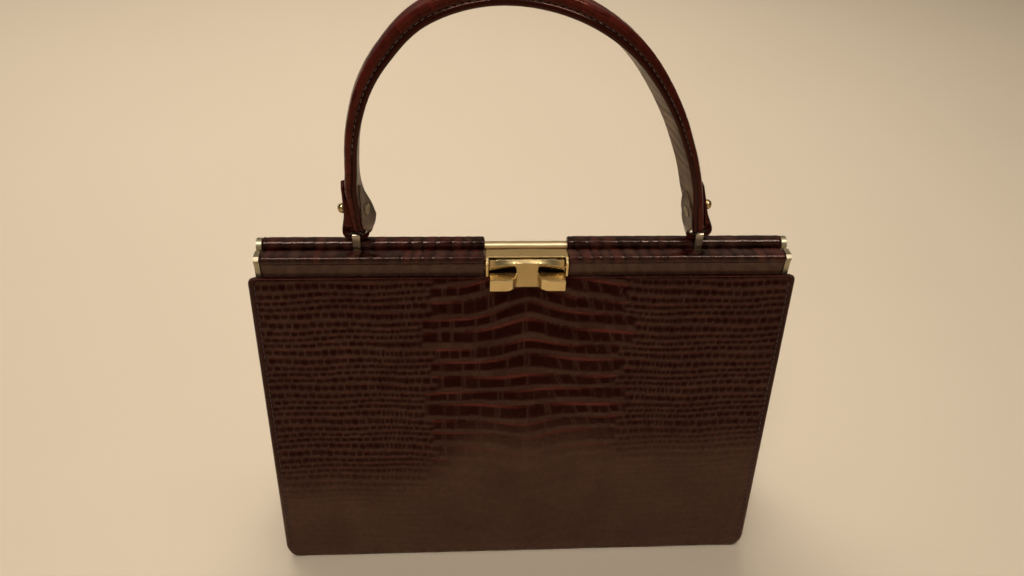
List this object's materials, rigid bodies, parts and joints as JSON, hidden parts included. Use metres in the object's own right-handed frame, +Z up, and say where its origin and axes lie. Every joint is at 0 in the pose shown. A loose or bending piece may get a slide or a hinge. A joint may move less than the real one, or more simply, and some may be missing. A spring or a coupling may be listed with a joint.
{
  "type": "frame handbag",
  "caption": "Structured top-handle handbag with a hinged metal mouth frame, leather panels, pleated sides, a lift clasp and an arched strap handle.",
  "frame": {"origin": "centre of the base, on the floor", "axes": "+X along the width to the right, minus Y out of the front with the clasp, +Z up towards the handle"},
  "size_m": [0.27, 0.0758, 0.3162],
  "materials": {
    "panel_leather": "glossy dark oxblood leather with a crocodile grain",
    "frame_leather": "glossy dark oxblood leather, smoother grain",
    "handle_leather": "glossy dark oxblood leather, padded and stitched",
    "brass": "polished gilt brass with light wear",
    "lining_fabric": "plain brown lining cloth",
    "fibre_board": "pressed fibre board",
    "spring_steel": "spring steel"
  },
  "bodies": {
    "bag_body": {"front_panel": "panel_leather", "back_panel": "panel_leather", "base_panel": "panel_leather", "gusset_left": "panel_leather", "gusset_right": "panel_leather", "base_board": "fibre_board", "lining": "lining_fabric", "back_frame": "brass", "hinge_pin_left": "brass", "hinge_pin_right": "brass", "back_frame_cover_left": "frame_leather", "back_frame_cover_right": "frame_leather", "catch_spring": "spring_steel", "handle": "handle_leather", "handle_tab_left": "handle_leather", "handle_tab_right": "handle_leather", "handle_loop_left": "brass", "handle_loop_right": "brass", "handle_rivet_left": "brass", "handle_rivet_right": "brass"},
    "front_half": {"front_frame": "brass", "front_frame_cover_left": "frame_leather", "front_frame_cover_right": "frame_leather", "clasp_housing": "brass", "clasp_pivot_pins": "brass", "lever_springs": "spring_steel"},
    "lever": {"clasp_lever": "brass"}
  },
  "joints": [
    {"name": "frame_opening", "type": "hinge", "parent": "bag_body", "child": "front_half", "pos_m": [0, 0, 0.146], "axis": [1, 0, 0], "range_deg": [0, 60], "deforming": ["front_panel", "catch_spring"]},
    {"name": "clasp_lift", "type": "hinge", "parent": "front_half", "child": "lever", "pos_m": [0, -0.00845, 0.1824], "axis": [-1, 0, 0], "range_deg": [0, 25], "stiffness_Nm_per_rad": 0.03, "springref_deg": -11.46, "deforming": ["lever_springs"]}
  ]
}
